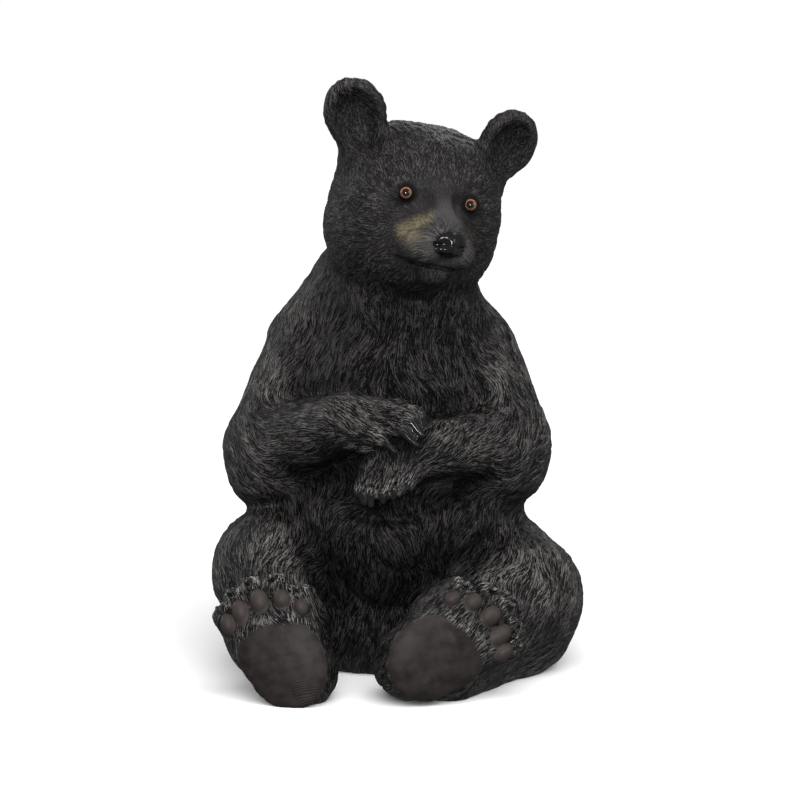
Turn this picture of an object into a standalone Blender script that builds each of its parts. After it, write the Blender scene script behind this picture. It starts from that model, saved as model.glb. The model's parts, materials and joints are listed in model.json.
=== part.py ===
# A seated bear cast in resin, with two glass eyes set into sockets in the face.
# Metres, +Z up, front towards -Y. The bear's right side is at -X. The ground is z = 0.
#
# Sculpted forms are given in shares: hundredths of the height, from the ground under the body.
# Each form is a field that is negative inside it. Fields are blended and then turned into one surface.

import math

import bpy
import numpy as np

# Driving sizes
HEIGHT = 0.600          # ground to the tip of the higher ear
EYE_DIAMETER = 0.0135
EYE_SINK = 0.0042       # how far an eye's centre lies behind the face
EYE_GAP = 0.0003        # clearance between an eye and its socket

# How finely the surface is worked out
GRID = 0.58             # edge of a sampling cell, in shares
FACES = 8300            # triangles kept on the casting before it is cut
BLOCK = 4               # cells along the edge of a block that is sampled or skipped as one
EYE_SEGMENTS = 16
EYE_RINGS = 8

SHARE = HEIGHT / 100
LOW = (-34.0, -42.0, -5.0)
HIGH = (35.0, 26.0, 103.0)
BURIED = 2.0            # depth under the ground of the uncut form, in shares


# Blending

def soft_min(a, b, k):
    """Union of two fields, rounded over a width of about k."""
    h = np.clip(0.5 + 0.5 * (b - a) / k, 0.0, 1.0)
    return b + (a - b) * h - k * h * (1.0 - h)


def soft_max(a, b, k):
    return -soft_min(-a, -b, k)


def ramp(v, start, end):
    """0 before start, 1 past end and smooth between."""
    t = np.clip((v - start) / (end - start), 0.0, 1.0)
    return t * t * (3.0 - 2.0 * t)


def crease(d, sheet, width, depth):
    """A soft groove where a sheet meets the surface."""
    return d + depth * np.exp(-(sheet / width) ** 2)


# Basic forms

def egg(p, centre, radii):
    """An ellipsoid."""
    r = np.array(radii, p.dtype)
    q = (p - np.array(centre, p.dtype)) / r
    near = np.sqrt((q * q).sum(1)) + 1e-6
    slope = np.sqrt(((q / r) ** 2).sum(1)) + 1e-6
    return near * (near - 1.0) / slope


def limb(p, a, b, radius_a, radius_b):
    """A round bar from a to b with its own radius at each end."""
    a = np.array(a, p.dtype)
    ab = np.array(b, p.dtype) - a
    ap = p - a
    t = np.clip(ap @ ab / (ab @ ab), 0.0, 1.0)
    away = ap - t[:, None] * ab
    return np.sqrt((away * away).sum(1)) - (radius_a + (radius_b - radius_a) * t)


def axes_of(yaw, pitch, roll):
    """Local axes as columns: yaw turns the front to +X, pitch lowers it, roll leans the top to +X."""
    y, p, r = (math.radians(angle) for angle in (yaw, pitch, roll))
    about_z = np.array([[math.cos(y), -math.sin(y), 0], [math.sin(y), math.cos(y), 0], [0, 0, 1]])
    about_y = np.array([[math.cos(r), 0, math.sin(r)], [0, 1, 0], [-math.sin(r), 0, math.cos(r)]])
    about_x = np.array([[1, 0, 0], [0, math.cos(p), -math.sin(p)], [0, math.sin(p), math.cos(p)]])
    return about_z @ about_y @ about_x


def into(p, frame):
    origin, axes = frame
    return (p - np.array(origin, p.dtype)) @ axes.astype(p.dtype)


def join(d, p, form, centre, reach, k):
    """Blends a form into d. It is worked out only for the points within reach of its centre."""
    near = ((p - np.array(centre, p.dtype)) ** 2).sum(1) < reach * reach
    d[near] = soft_min(d[near], form(p[near]), k)
    return d


# Head: turned to the bear's left, a little lowered and tilted

HEAD = ((2.4, -7.0, 78.66), axes_of(18, 4, 10.9))
EAR = ((13.6, -1.8, 12.9), axes_of(10, 0, 30))
EYE_ACROSS = 5.65       # half the distance between the eyes
EYE_UP = 2.5
FACE_AT_EYE = -12.0     # local y of the face's surface around an eye
MOUTH_UP = -8.1
MUZZLE_ROOT = np.array((0.0, -6.0, 0.0))
MUZZLE_AXES = axes_of(5, 0, 0)      # it turns a little more than the skull
MUZZLE = (MUZZLE_ROOT - MUZZLE_AXES @ MUZZLE_ROOT, MUZZLE_AXES)


def skull(q, m):
    m = m.copy()
    m[:, 0] = np.sqrt(m[:, 0] ** 2 + 1.0)
    d = egg(q, (0.7, 2.2, 2.3), (12.8, 13.0, 11.0))
    crown = egg(m, (4.6, 0.8, 4.4), (8.4, 10.6, 8.0))
    cheeks = egg(m, (7.5, -0.4, -4.5), (7.2, 9.6, 8.4))
    throat = egg(q, (0, -2.6, -8.4), (9.8, 9.4, 6.4))
    bridge = limb(q, (0, -5.2, 5.2), (0, -12.2, 0.4), 5.4, 3.2)
    brow = egg(m, (5.2, -7.7, 6.2), (3.3, 2.5, 1.9))
    cheekbones = egg(m, (8.0, -5.2, 0.2), (4.4, 4.6, 5.6))
    for form, k in ((crown, 4.0), (cheeks, 4.0), (throat, 4.0), (bridge, 3.0), (brow, 2.4), (cheekbones, 3.0)):
        d = soft_min(d, form, k)
    return d


def muzzle(q, m):
    d = limb(q, (0, -8.0, -0.8), (0, -15.9, -2.3), 4.8, 3.0)
    lips = limb(m, (2.9, -7.0, -4.6), (2.8, -15.3, -5.4), 4.7, 3.0)
    chin = limb(q, (0, -9.0, -8.2), (0, -13.6, -8.5), 4.4, 2.9)
    nose = egg(q, (0, -17.5, -3.9), (2.35, 2.3, 2.1))
    wings = egg(m, (1.35, -17.9, -4.0), (1.15, 1.6, 1.5))
    for form, k in ((lips, 2.4), (chin, 1.6), (nose, 0.6), (wings, 0.4)):
        d = soft_min(d, form, k)
    return d


def face_lines(d, q, m):
    """Mouth, the line under the nose, and the nostrils with the slits beside them."""
    front = -q[:, 1]
    d = crease(d, q[:, 2] - MOUTH_UP, 0.34, 0.6 * ramp(front, 10.6, 12.4))
    under_nose = ramp(front, 16.0, 17.0) * ramp(-q[:, 2], 4.8, 5.6) * ramp(q[:, 2], -8.6, -7.6)
    d = crease(d, m[:, 0], 0.3, 0.15 * under_nose)
    nostril = np.sqrt(((m[:, 0] - 1.3) / 0.75) ** 2 + ((m[:, 2] + 3.9) / 0.75) ** 2)
    slit = np.sqrt(((m[:, 0] - 2.2) / 0.8) ** 2 + ((m[:, 2] + 4.3) / 0.32) ** 2)
    d = crease(d, nostril, 1.0, 0.85 * ramp(front, 17.0, 18.2))
    return crease(d, slit, 1.0, 0.5 * ramp(front, 16.6, 17.6))


def head(p):
    q = into(p, HEAD)
    m = q.copy()
    m[:, 0] = np.abs(m[:, 0])          # the head is the same on both sides
    e = into(m, EAR)
    snout = into(q, MUZZLE)
    snout_half = snout.copy()
    snout_half[:, 0] = np.abs(snout[:, 0])
    d = soft_min(skull(q, m), muzzle(snout, snout_half), 2.6)
    d = soft_max(d, -egg(m, (EYE_ACROSS - 2.2, FACE_AT_EYE - 2.2, EYE_UP - 0.3), (1.5, 2.2, 2.2)), 1.6)
    d = soft_min(d, egg(m, (EYE_ACROSS, FACE_AT_EYE + 2.5, EYE_UP), (2.4, 2.2, 2.1)), 0.9)
    ear = soft_min(egg(e, (0, 0.6, 0.4), (5.2, 2.2, 5.9)), limb(e, (0.7, 2.2, -7.0), (0.2, 1.4, -1.0), 4.3, 2.7), 2.2)
    d = soft_min(d, ear, 1.8)
    d = soft_max(d, -egg(e, (0.1, -2.2, -0.2), (4.0, 3.1, 5.2)), 1.0)
    return face_lines(d, snout, snout_half)


# Hind feet: soles to the front. Local z runs from heel to toes, -y is the sole, the inner side is at +x

RIGHT_FOOT = ((-16.6, -36.0, -0.4), axes_of(-8, -8, -21))
LEFT_FOOT = ((0.2, -36.5, 3.4), axes_of(8, -6, 54))
RIGHT_HEEL = (1.5, 5.4)
LEFT_HEEL = (0.8, 4.0)

# Across and up of each toe's pad, its half width and half height, then across and up of the toe's fringed
# end, from the outer toe to the inner one
TOES = (
    (-6.1, 16.6, 1.3, 1.9, -6.9, 19.4),
    (-3.5, 17.7, 1.55, 2.3, -4.3, 21.4),
    (0.0, 18.4, 1.6, 2.1, -0.9, 22.2),
    (3.6, 17.6, 1.5, 1.7, 3.0, 21.4),
    (6.2, 15.3, 1.2, 1.5, 6.5, 18.5),
)


def sole_form(q, heel, back):
    """The bare sole: wide under the toes and narrower at the heel. It lies at y = back."""
    middle = 7.6 + 0.5 * (heel[1] - RIGHT_HEEL[1])
    d = egg(q, (0.55 + 0.25 * heel[0], back, middle), (6.7, 1.7, 7.6))
    return soft_min(d, egg(q, (-1.3, back, middle + 2.4), (5.2, 1.7, 5.2)), 0.8)


def foot(p, frame, side, heel):
    q = into(p, frame)
    q[:, 0] *= side
    d = limb(q, (heel[0], 5.4, heel[1]), (0.4, 5.6, 11.5), 6.0, 7.0)
    d = soft_min(d, egg(q, (0.0, 4.6, 12.0), (8.1, 4.6, 6.4)), 2.5)
    d = soft_max(d, -(q[:, 1] + 0.4), 2.0)
    d = soft_min(d, limb(q, (-3.4, 4.6, 14.6), (3.6, 4.6, 14.4), 4.6, 4.4), 2.0)
    d = soft_min(d, sole_form(q, heel, 1.0), 0.8)
    for across, up, pad_wide, pad_high, tip_across, tip_up in TOES:
        toe = limb(q, (across * 0.85, 5.2, up - 3.4), (tip_across, 3.4, tip_up - 1.6), 3.0, 2.1)
        pad = egg(q, (across, 1.0, up), (pad_wide, 1.4, pad_high))
        claw = limb(q, (tip_across, 2.4, tip_up - 0.4), (tip_across, 0.7, tip_up + 0.3), 0.85, 0.45)
        d = soft_min(d, toe, 1.0)
        d = soft_min(d, pad, 0.4)
        d = soft_min(d, claw, 0.5)
    return d


# Arms, with the right paw laid over the left one. Shoulder, elbow and wrist of each

RIGHT_ARM = ((-16.0, 1.0, 52.8), (-22.2, -4.8, 37.4), (-9.0, -19.3, 44.1))
LEFT_ARM = ((13.0, 1.0, 52.6), (17.9, -4.8, 38.6), (6.8, -19.0, 39.6))
RIGHT_PALM = ((-3.4, -21.8, 43.9), 4.4)
LEFT_PALM = ((-2.4, -21.0, 36.9), 4.2)
RIGHT_BACK = (-0.24, -0.72, 0.65)       # way out of the back of each paw
LEFT_BACK = (-0.2, -0.95, 0.25)

# Knuckle, finger end and claw tip of each finger
RIGHT_FINGERS = (
    ((-0.1, -22.4, 46.5), (2.9, -24.3, 45.7), (4.3, -26.0, 43.9)),
    ((-1.8, -24.0, 46.2), (1.6, -25.9, 45.1), (3.5, -27.1, 42.8)),
    ((-4.0, -24.7, 44.8), (-0.1, -26.5, 43.8), (2.6, -27.6, 41.4)),
    ((-6.6, -24.1, 43.0), (-3.0, -26.1, 42.1), (-0.8, -27.1, 40.2)),
    ((-8.2, -22.4, 41.4), (-5.2, -23.6, 40.5), (-3.9, -24.0, 40.0)),
)
LEFT_FINGERS = (
    ((-5.0, -22.2, 35.9), (-6.2, -23.4, 33.3), (-5.9, -24.8, 31.4)),
    ((-3.5, -23.2, 35.6), (-4.7, -24.5, 33.1), (-4.7, -25.6, 31.1)),
    ((-1.8, -23.4, 35.2), (-2.7, -24.8, 33.0), (-2.8, -25.6, 31.7)),
    ((0.1, -23.3, 35.4), (-0.8, -24.6, 33.6), (-1.0, -25.3, 32.3)),
    ((2.1, -22.8, 36.0), (1.1, -24.1, 34.4), (0.8, -24.8, 33.1)),
)

# Grooves between the fingers, from the back of the paw to the claws
RIGHT_GROOVES = (
    ((-4.9, -26.0, 45.3), (0.3, -27.9, 42.9)),
    ((-3.6, -25.8, 46.8), (2.1, -27.4, 43.9)),
    ((-1.2, -26.1, 47.0), (3.0, -27.4, 44.6)),
)
LEFT_GROOVES = (
    ((-4.5, -24.8, 37.1), (-5.4, -25.0, 34.2)),
    ((-3.1, -25.2, 36.5), (-3.8, -25.7, 33.6)),
    ((-0.5, -25.3, 36.2), (-1.5, -26.0, 33.8)),
)
RIGHT_PAW = (RIGHT_ARM, RIGHT_PALM, RIGHT_FINGERS, RIGHT_BACK, RIGHT_GROOVES)
LEFT_PAW = (LEFT_ARM, LEFT_PALM, LEFT_FINGERS, LEFT_BACK, LEFT_GROOVES)


def upper_arm(p, arm):
    shoulder, elbow, _ = arm
    bulge = (elbow[0] * 0.98, -6.0, elbow[2] - 3.4)
    return soft_min(limb(p, shoulder, elbow, 7.5, 7.6), egg(p, bulge, (7.7, 8.0, 7.6)), 1.5)


def between(a, b, share):
    return np.array(a) + share * (np.array(b) - np.array(a))


def claw_of(p, finger, back):
    knuckle, end, tip = finger
    return limb(p, between(knuckle, end, 0.95) + 0.6 * np.array(back), tip, 0.95, 0.5)


def paw(p, arm, palm, fingers, back, grooves):
    centre, thick = palm
    d = limb(p, arm[2], centre, thick, thick * 0.95)
    digits = limb(p, fingers[0][0], fingers[0][1], 1.8, 1.35)
    for knuckle, end, _ in fingers[1:]:
        digits = soft_min(digits, limb(p, knuckle, end, 1.8, 1.35), 0.5)
    d = soft_min(d, digits, 1.6)
    for start, stop in grooves:
        d = soft_max(d, -limb(p, start, stop, 0.45, 0.85), 0.5)
    for finger in fingers:
        d = soft_min(d, claw_of(p, finger, back), 0.5)
    return d


# Body and legs

# Folds across the belly: middle of each arc, its radius, then the groove's half width and depth
FOLDS = (
    (0.4, 24.4, 5.4, 0.8, 0.28),
    (-2.0, 47.0, 19.4, 0.9, 0.5),
    (1.0, 27.0, 15.0, 1.1, 0.35),
)

# Hip, knee and ankle of each leg
RIGHT_LEG = ((-15.0, 3.0, 13.0), (-22.0, -12.5, 17.0), (-18.6, -27.0, 9.0))
LEFT_LEG = ((12.0, 2.0, 11.5), (19.6, -9.0, 12.2), (8.0, -27.0, 8.0))


def torso(p):
    d = egg(p, (-1.5, 3.0, 14.0), (20.5, 17.0, 17.5))
    seat = egg(p, (-2.0, -2.0, 7.0), (17.5, 15.5, 12.0))
    belly = egg(p, (-2.6, -4.4, 24.0), (19.0, 16.6, 16.0))
    left_flank = egg(p, (10.0, -2.0, 26.0), (11.0, 11.5, 8.0))
    chest = egg(p, (-1.8, -0.5, 44.0), (18.0, 15.5, 18.0))
    back = egg(p, (-1.5, 5.0, 35.0), (17.0, 14.8, 25.0))
    hump = egg(p, (-1.2, 4.2, 56.5), (15.5, 12.0, 11.0))
    neck = limb(p, (-1.0, 1.0, 58.0), (1.2, -3.5, 72.0), 13.5, 12.0)
    right_shoulder = limb(p, (-13.4, 1.5, 57.0), (-9.0, -0.5, 65.5), 7.3, 6.0)
    left_shoulder = limb(p, (9.4, 1.5, 56.5), (5.6, -1.0, 64.5), 6.8, 5.4)
    behind_paws = limb(p, (-6.0, -14.2, 42.4), (4.5, -14.6, 37.0), 5.6, 5.6)
    under_paws = egg(p, (0.2, -14.6, 34.2), (8.0, 5.0, 4.6))
    tail = limb(p, (-1.2, 15.5, 11.0), (-1.4, 20.2, 6.4), 3.4, 2.2)
    blends = (
        (seat, 6.0),
        (belly, 6.0),
        (left_flank, 4.0),
        (chest, 6.0),
        (back, 5.0),
        (hump, 5.0),
        (behind_paws, 3.0),
        (under_paws, 3.0),
        (neck, 4.0),
        (right_shoulder, 3.0),
        (left_shoulder, 3.0),
        (upper_arm(p, RIGHT_ARM), 3.5),
        (upper_arm(p, LEFT_ARM), 3.5),
        (tail, 2.5),
    )
    for form, k in blends:
        d = soft_min(d, form, k)
    return d


def belly_folds(d, p):
    for across, up, radius, width, depth in FOLDS:
        arc = np.sqrt((p[:, 0] - across) ** 2 + (p[:, 2] - up) ** 2) - radius
        lower = ramp(up - p[:, 2], radius * 0.1, radius * 0.6)
        middle = ramp(11.0 - np.abs(p[:, 0]), 0.0, 4.0)
        d = crease(d, arc, width, depth * lower * middle * ramp(-p[:, 1], 8.0, 13.0))
    return d


def legs(p):
    hip, knee, ankle = RIGHT_LEG
    right = soft_min(limb(p, hip, knee, 12.0, 8.6), limb(p, knee, ankle, 8.4, 6.2), 3.0)
    right = soft_min(right, egg(p, (-21.8, -10.5, 17.4), (9.7, 10.5, 10.6)), 2.0)
    hip, knee, ankle = LEFT_LEG
    left = soft_min(limb(p, hip, knee, 11.5, 10.9), limb(p, knee, ankle, 10.8, 7.2), 3.0)
    left = soft_min(left, egg(p, (17.5, -3.0, 16.6), (8.2, 10.0, 9.6)), 3.0)
    left = soft_min(left, egg(p, (18.5, -9.0, 6.0), (10.0, 10.0, 8.0)), 2.5)
    left = soft_min(left, limb(p, (18.5, -12.0, 4.5), (8.0, -28.0, 3.0), 6.0, 4.6), 2.5)
    return np.minimum(right, left)


def bear(p):
    """The whole casting, still whole under the ground."""
    d = soft_min(belly_folds(torso(p), p), legs(p), 2.3)
    for _, elbow, wrist in (RIGHT_ARM, LEFT_ARM):
        d = soft_min(d, limb(p, elbow, wrist, 7.4, 4.5), 1.8)
    d = join(d, p, lambda n: paw(n, *LEFT_PAW), (0, -22, 36), 14, 1.2)
    d = join(d, p, lambda n: paw(n, *RIGHT_PAW), (-3, -22, 43), 14, 1.3)
    d = join(d, p, head, HEAD[0], 30, 2.5)
    d = join(d, p, lambda n: foot(n, RIGHT_FOOT, 1, RIGHT_HEEL), (-19, -30, 9), 20, 1.2)
    d = join(d, p, lambda n: foot(n, LEFT_FOOT, -1, LEFT_HEEL), (9, -30, 9), 20, 1.2)
    return np.maximum(d, -p[:, 2] - BURIED)


# From a field to a surface

def sample(field):
    """Field values on a grid: exact in the blocks that the surface can pass through, only signed in others."""
    low = np.array(LOW)
    blocks = np.ceil((np.array(HIGH) - low) / (GRID * BLOCK)).astype(int)
    at = np.stack(np.meshgrid(*[np.arange(n) for n in blocks], indexing="ij"), -1).reshape(-1, 3)
    rough = field(low + (at + 0.5) * GRID * BLOCK)
    reach = GRID * BLOCK
    signs = np.sign(rough).reshape(blocks)
    for axis in range(3):
        signs = np.repeat(signs, BLOCK, axis)
    values = np.ones(blocks * BLOCK + 1)
    values[:-1, :-1, :-1] = signs
    exact = np.zeros(values.shape, bool)
    for i, j, k in at[np.abs(rough) < reach * 1.4] * BLOCK:
        exact[i:i + BLOCK + 1, j:j + BLOCK + 1, k:k + BLOCK + 1] = True
    values[exact] = field(low + np.argwhere(exact) * GRID)
    return values


def fill_pinches(values):
    """Fills the corners where two sheets of the surface would share one cell, so that it stays a clean skin."""
    nx, ny, nz = (n - 1 for n in values.shape)
    corners = [(i, j, k) for i in (0, 1) for j in (0, 1) for k in (0, 1)]
    while True:
        inside = values < 0
        part = {c: inside[c[0]:nx + c[0], c[1]:ny + c[1], c[2]:nz + c[2]] for c in corners}
        pinched = np.zeros((nx, ny, nz), bool)
        for axis in range(3):
            u = (axis + 1) % 3
            v = (axis + 2) % 3
            for side in (0, 1):
                face = [part[c] for c in corners if c[axis] == side and c[u] == c[v]]
                other = [part[c] for c in corners if c[axis] == side and c[u] != c[v]]
                pinched |= (face[0] == face[1]) & (other[0] == other[1]) & (face[0] != other[0])
        count = sum(part[c].astype(int) for c in corners)
        for c in corners[:4]:
            far = part[tuple(1 - n for n in c)]
            pinched |= (part[c] == far) & (count == np.where(far, 2, 6))
        outside = False
        for c in corners:
            spot = values[c[0]:nx + c[0], c[1]:ny + c[1], c[2]:nz + c[2]]
            fill = pinched & (spot >= 0)
            outside = outside or fill.any()
            spot[fill] = -0.1 * GRID
        if not outside:
            return


def cell_points(values, inside):
    """One point for each cell that the surface crosses, at the mean of the crossings on its edges."""
    corners = [(i, j, k) for i in (0, 1) for j in (0, 1) for k in (0, 1)]
    nx, ny, nz = (n - 1 for n in values.shape)
    count = sum(inside[i:nx + i, j:ny + j, k:nz + k].astype(int) for i, j, k in corners)
    crossed = (count > 0) & (count < 8)
    index = np.full(crossed.shape, -1)
    cells = np.argwhere(crossed)
    index[crossed] = np.arange(len(cells))
    total = np.zeros((len(cells), 3))
    hits = np.zeros(len(cells))
    for a in corners:
        for axis in range(3):
            if a[axis]:
                continue
            b = tuple(c + (n == axis) for n, c in enumerate(a))
            va = values[tuple((cells + a).T)]
            vb = values[tuple((cells + b).T)]
            cross = (va < 0) != (vb < 0)
            point = np.tile(np.array(a, float), (cross.sum(), 1))
            point[:, axis] = va[cross] / (va[cross] - vb[cross])
            total[cross] += point
            hits[cross] += 1
    return (cells + total / hits[:, None]) * GRID + np.array(LOW), index


def grid_quads(inside, index):
    """One quad around each grid edge that the surface crosses, wound to face out."""
    quads = []
    for axis in range(3):
        u = (axis + 1) % 3
        v = (axis + 2) % 3
        start = np.take(inside, range(inside.shape[axis] - 1), axis)
        end = np.take(inside, range(1, inside.shape[axis]), axis)
        edges = np.argwhere(start != end)
        leaves = start[tuple(edges.T)]
        ring = []
        for du, dv in ((1, 1), (0, 1), (0, 0), (1, 0)):
            cell = edges.copy()
            cell[:, u] -= du
            cell[:, v] -= dv
            ring.append(index[tuple(cell.T)])
        quad = np.stack(ring, 1)
        quad[~leaves] = quad[~leaves][:, ::-1]
        quads.append(quad)
    return np.concatenate(quads)


def slope_of(field, p, h):
    """Gradient of the field, from samples at the corners of a small tetrahedron."""
    g = np.zeros_like(p)
    for corner in ((1, 1, 1), (1, -1, -1), (-1, 1, -1), (-1, -1, 1)):
        corner = np.array(corner, float)
        g += field(p + corner * h)[:, None] * corner
    return g / (4 * h)


def surface_of(field):
    values = sample(field)
    fill_pinches(values)
    inside = values < 0
    points, index = cell_points(values, inside)
    quads = grid_quads(inside, index)
    for _ in range(2):
        g = slope_of(field, points, 0.15)
        g /= np.maximum(np.linalg.norm(g, axis=1), 0.3)[:, None]
        step = np.clip(field(points), -GRID / 2, GRID / 2)
        points = points - 0.6 * step[:, None] * g
    return points, quads


# Objects

def material(name, colour, roughness):
    made = bpy.data.materials.new(name)
    made.use_nodes = True
    shader = made.node_tree.nodes["Principled BSDF"]
    shader.inputs["Base Color"].default_value = (*colour, 1.0)
    shader.inputs["Roughness"].default_value = roughness
    return made


def add(name, mesh, finish):
    made = bpy.data.objects.new(name, mesh)
    bpy.context.scene.collection.objects.link(made)
    if finish:
        mesh.materials.append(finish)
    return made


def ball(name, centre, radius, finish):
    """A sphere of rings and segments with a pole at each end."""
    points = [(0.0, 0.0, -1.0)]
    for ring in range(1, EYE_RINGS):
        polar = math.pi * ring / EYE_RINGS
        for n in range(EYE_SEGMENTS):
            around = 2 * math.pi * n / EYE_SEGMENTS
            points.append((math.sin(polar) * math.cos(around), math.sin(polar) * math.sin(around), -math.cos(polar)))
    points.append((0.0, 0.0, 1.0))
    top = len(points) - 1
    faces = []
    for n in range(EYE_SEGMENTS):
        after = (n + 1) % EYE_SEGMENTS
        faces.append((0, 1 + after, 1 + n))
        for ring in range(EYE_RINGS - 2):
            here = 1 + ring * EYE_SEGMENTS
            above = here + EYE_SEGMENTS
            faces.append((here + n, here + after, above + after, above + n))
        faces.append((top, top - EYE_SEGMENTS + n, top - EYE_SEGMENTS + after))
    mesh = bpy.data.meshes.new(name)
    mesh.from_pydata([tuple(np.array(centre) + radius * np.array(point)) for point in points], [], faces)
    return add(name, mesh, finish)


def ground_box(name):
    """A block that fills the space under the ground."""
    half = HEIGHT
    corners = [(x, y, z) for z in (-half, 0.0) for y in (-half, half) for x in (-half, half)]
    faces = [(0, 2, 3, 1), (4, 5, 7, 6), (0, 1, 5, 4), (2, 6, 7, 3), (0, 4, 6, 2), (1, 3, 7, 5)]
    mesh = bpy.data.meshes.new(name)
    mesh.from_pydata(corners, [], faces)
    return add(name, mesh, None)


def cut(body, cutter):
    cutter.hide_render = True
    cutter.display_type = "WIRE"
    modifier = body.modifiers.new(cutter.name, "BOOLEAN")
    modifier.operation = "DIFFERENCE"
    modifier.solver = "EXACT"
    modifier.object = cutter


def eye_centre(side):
    origin, axes = HEAD
    local = (side * EYE_ACROSS, FACE_AT_EYE + EYE_SINK / SHARE, EYE_UP)
    return (np.array(origin) + axes @ np.array(local)) * SHARE


def build():
    for old in list(bpy.data.objects):
        bpy.data.objects.remove(old)
    resin = material("resin", (0.045, 0.042, 0.043), 0.6)
    glass = material("eye", (0.20, 0.085, 0.03), 0.05)
    points, quads = surface_of(bear)
    mesh = bpy.data.meshes.new("bear_body")
    mesh.from_pydata((points * SHARE).tolist(), [], quads.tolist())
    body = add("bear_body", mesh, resin)
    thinned = body.modifiers.new("facets", "DECIMATE")
    thinned.ratio = FACES / (2 * len(quads))
    cut(body, ground_box("under_ground"))
    for name, side in (("right", -1), ("left", 1)):
        centre = eye_centre(side)
        cut(body, ball(name + "_socket", centre, EYE_DIAMETER / 2 + EYE_GAP, None))
        ball(name + "_eye", centre, EYE_DIAMETER / 2, glass)


build()
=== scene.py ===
# The looks of the seated bear: carved fur, painted resin, glass eyes, floor, light and camera.
# The casting's skin is worked out from the same forms as its solid, then carved with strokes of fur.
# Forms are given in shares: hundredths of the height, from the ground under the body.

import json
import math

import bmesh
import bpy
import numpy as np
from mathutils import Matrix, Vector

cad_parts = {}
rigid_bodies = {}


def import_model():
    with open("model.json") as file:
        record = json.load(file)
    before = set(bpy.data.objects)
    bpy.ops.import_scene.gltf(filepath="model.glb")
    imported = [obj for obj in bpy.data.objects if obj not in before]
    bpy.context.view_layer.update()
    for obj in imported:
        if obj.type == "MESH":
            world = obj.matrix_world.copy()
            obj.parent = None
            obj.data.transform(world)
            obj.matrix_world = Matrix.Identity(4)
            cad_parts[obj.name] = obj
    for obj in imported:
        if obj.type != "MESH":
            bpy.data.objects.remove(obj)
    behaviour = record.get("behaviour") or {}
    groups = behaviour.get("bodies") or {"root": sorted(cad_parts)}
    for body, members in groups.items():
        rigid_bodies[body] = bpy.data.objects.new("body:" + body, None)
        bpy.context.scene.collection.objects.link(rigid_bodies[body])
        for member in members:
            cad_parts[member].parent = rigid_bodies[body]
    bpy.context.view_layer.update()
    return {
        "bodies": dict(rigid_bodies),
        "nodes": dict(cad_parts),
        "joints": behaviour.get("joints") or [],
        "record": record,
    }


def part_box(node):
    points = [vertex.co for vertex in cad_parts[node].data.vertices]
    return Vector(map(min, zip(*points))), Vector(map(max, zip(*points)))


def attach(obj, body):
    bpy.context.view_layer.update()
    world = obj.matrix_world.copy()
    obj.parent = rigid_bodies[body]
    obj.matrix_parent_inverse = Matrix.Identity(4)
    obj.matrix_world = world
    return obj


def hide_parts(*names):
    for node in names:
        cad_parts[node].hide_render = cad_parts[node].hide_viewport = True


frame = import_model()

# Sizes taken from the frame
EAR_TOP = 0.9996        # height of the solid's highest point, as a share of the whole height
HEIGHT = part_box("bear_body")[1][2] / EAR_TOP
SHARE = HEIGHT / 100
EYE_RADIUS = (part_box("right_eye")[1][0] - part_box("right_eye")[0][0]) / 2

# How finely the skin is worked out
GRID = 0.52             # edge of a sampling cell, in shares
BLOCK = 4               # cells along the edge of a block that is sampled or skipped as one
LOW = (-34.0, -42.0, -5.0)
HIGH = (35.0, 26.0, 103.0)


# Blending

def soft_min(a, b, k):
    """Union of two fields, rounded over a width of about k."""
    h = np.clip(0.5 + 0.5 * (b - a) / k, 0.0, 1.0)
    return b + (a - b) * h - k * h * (1.0 - h)


def soft_max(a, b, k):
    return -soft_min(-a, -b, k)


def ramp(v, start, end):
    """0 before start, 1 past end and smooth between."""
    t = np.clip((v - start) / (end - start), 0.0, 1.0)
    return t * t * (3.0 - 2.0 * t)


def crease(d, sheet, width, depth):
    """A soft groove where a sheet meets the surface."""
    return d + depth * np.exp(-(sheet / width) ** 2)


# Basic forms

def egg(p, centre, radii):
    """An ellipsoid."""
    r = np.array(radii, p.dtype)
    q = (p - np.array(centre, p.dtype)) / r
    near = np.sqrt((q * q).sum(1)) + 1e-6
    slope = np.sqrt(((q / r) ** 2).sum(1)) + 1e-6
    return near * (near - 1.0) / slope


def limb(p, a, b, radius_a, radius_b):
    """A round bar from a to b with its own radius at each end."""
    a = np.array(a, p.dtype)
    ab = np.array(b, p.dtype) - a
    ap = p - a
    t = np.clip(ap @ ab / (ab @ ab), 0.0, 1.0)
    away = ap - t[:, None] * ab
    return np.sqrt((away * away).sum(1)) - (radius_a + (radius_b - radius_a) * t)


def axes_of(yaw, pitch, roll):
    """Local axes as columns: yaw turns the front to +X, pitch lowers it, roll leans the top to +X."""
    y, p, r = (math.radians(angle) for angle in (yaw, pitch, roll))
    about_z = np.array([[math.cos(y), -math.sin(y), 0], [math.sin(y), math.cos(y), 0], [0, 0, 1]])
    about_y = np.array([[math.cos(r), 0, math.sin(r)], [0, 1, 0], [-math.sin(r), 0, math.cos(r)]])
    about_x = np.array([[1, 0, 0], [0, math.cos(p), -math.sin(p)], [0, math.sin(p), math.cos(p)]])
    return about_z @ about_y @ about_x


def into(p, frame):
    origin, axes = frame
    return (p - np.array(origin, p.dtype)) @ axes.astype(p.dtype)


def join(d, p, form, centre, reach, k):
    """Blends a form into d. It is worked out only for the points within reach of its centre."""
    near = ((p - np.array(centre, p.dtype)) ** 2).sum(1) < reach * reach
    d[near] = soft_min(d[near], form(p[near]), k)
    return d


# Head: turned to the bear's left, a little lowered and tilted

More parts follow.
